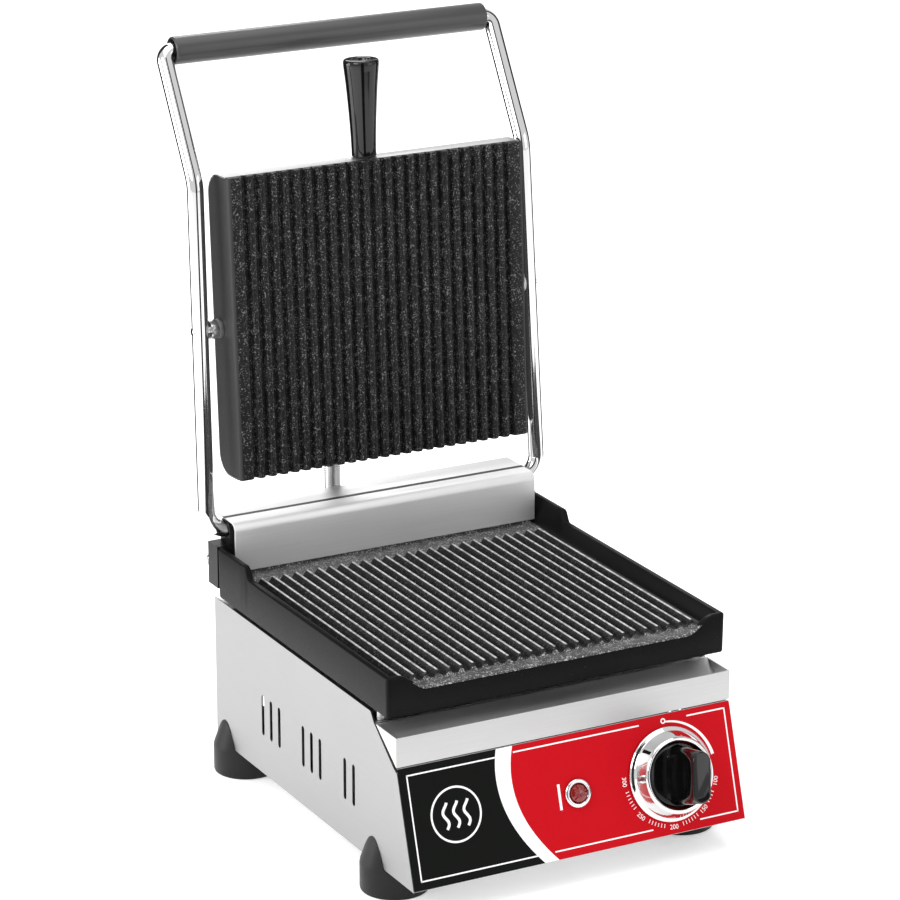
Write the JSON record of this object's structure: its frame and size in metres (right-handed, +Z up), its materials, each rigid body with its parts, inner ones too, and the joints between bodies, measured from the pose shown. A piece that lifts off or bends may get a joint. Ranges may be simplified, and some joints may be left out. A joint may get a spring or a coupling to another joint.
{
  "type": "panini press",
  "caption": "Countertop contact grill: ribbed lower plate on a vented steel case, ribbed tilting lid on a swinging bail with a cross grip.",
  "frame": {"origin": "centre of the bounding box's bottom face, on the surface that the feet stand on", "axes": "+Z up, +Y from the controls towards the hinge, +X to the right of someone facing the controls"},
  "size_m": [0.2827, 0.4193, 0.5294],
  "materials": {
    "stainless": "brushed",
    "chrome": "polished",
    "zinc": "zinc plated",
    "cast_iron": "enamelled",
    "black_steel": "satin black",
    "black_plastic": "satin",
    "bakelite": "gloss",
    "rubber": "matt",
    "printed_film": "printed",
    "red_lens": "clear red",
    "copper": "drawn copper",
    "ceramic": "unglazed"
  },
  "bodies": {
    "base": {"side_panel_left": "stainless", "side_panel_right": "stainless", "front_panel": "stainless", "rear_panel": "stainless", "bottom_plate": "stainless", "front_rail": "stainless", "drip_gutter": "stainless", "foot_front_left": "rubber", "foot_front_right": "rubber", "foot_rear_left": "rubber", "foot_rear_right": "rubber", "lower_plate": "cast_iron", "lower_heater": "zinc", "lower_reflector": "stainless", "stud_front_left": "zinc", "stud_front_right": "zinc", "stud_rear_left": "zinc", "stud_rear_right": "zinc", "fascia_label": "printed_film", "knob_bezel": "chrome", "lamp_bezel": "chrome", "lamp_lens": "red_lens", "thermostat_body": "ceramic", "thermostat_probe": "copper", "terminal_block": "ceramic", "hinge_bracket_left": "black_steel", "hinge_bracket_right": "black_steel", "bracket_bolt_left": "zinc", "bracket_bolt_right": "zinc", "torsion_spring_left": "zinc", "torsion_spring_right": "zinc", "hinge_guard": "stainless", "conduit_gland": "zinc", "mains_gland": "black_plastic", "conduit_lower": "stainless"},
    "bail": {"bail_rod": "chrome", "grip_sleeve": "black_plastic", "rod_collar_left": "zinc", "rod_collar_right": "zinc", "pivot_bolt_left": "chrome", "pivot_bolt_right": "chrome", "pivot_nut_left": "chrome", "pivot_nut_right": "chrome", "conduit_upper": "stainless"},
    "lid": {"upper_plate": "cast_iron", "upper_cover": "stainless", "upper_heater": "zinc", "upper_reflector": "stainless", "front_handle": "bakelite", "handle_bolt": "zinc", "lid_terminal_box": "black_steel", "conduit_fitting": "zinc", "cover_screw_1": "zinc", "cover_screw_2": "zinc", "cover_screw_3": "zinc", "cover_screw_4": "zinc"},
    "knob": {"thermostat_knob": "bakelite", "thermostat_shaft": "zinc"}
  },
  "joints": [
    {"name": "bail_swing", "type": "hinge", "parent": "base", "child": "bail", "pos_m": [0, 0.13212, 0.1825], "axis": [1, 0, 0], "range_deg": [0, 92], "deforming": ["conduit_lower"]},
    {"name": "lid_tilt", "type": "hinge", "parent": "bail", "child": "lid", "pos_m": [0, 0.1424, 0.32944], "axis": [1, 0, 0], "range_deg": [-1.5, 4], "deforming": ["conduit_upper"]},
    {"name": "thermostat_turn", "type": "hinge", "parent": "base", "child": "knob", "pos_m": [0.0754, -0.16253, 0.06254], "axis": [0, -0.9556, 0.2948], "range_deg": [-270, 0]}
  ]
}
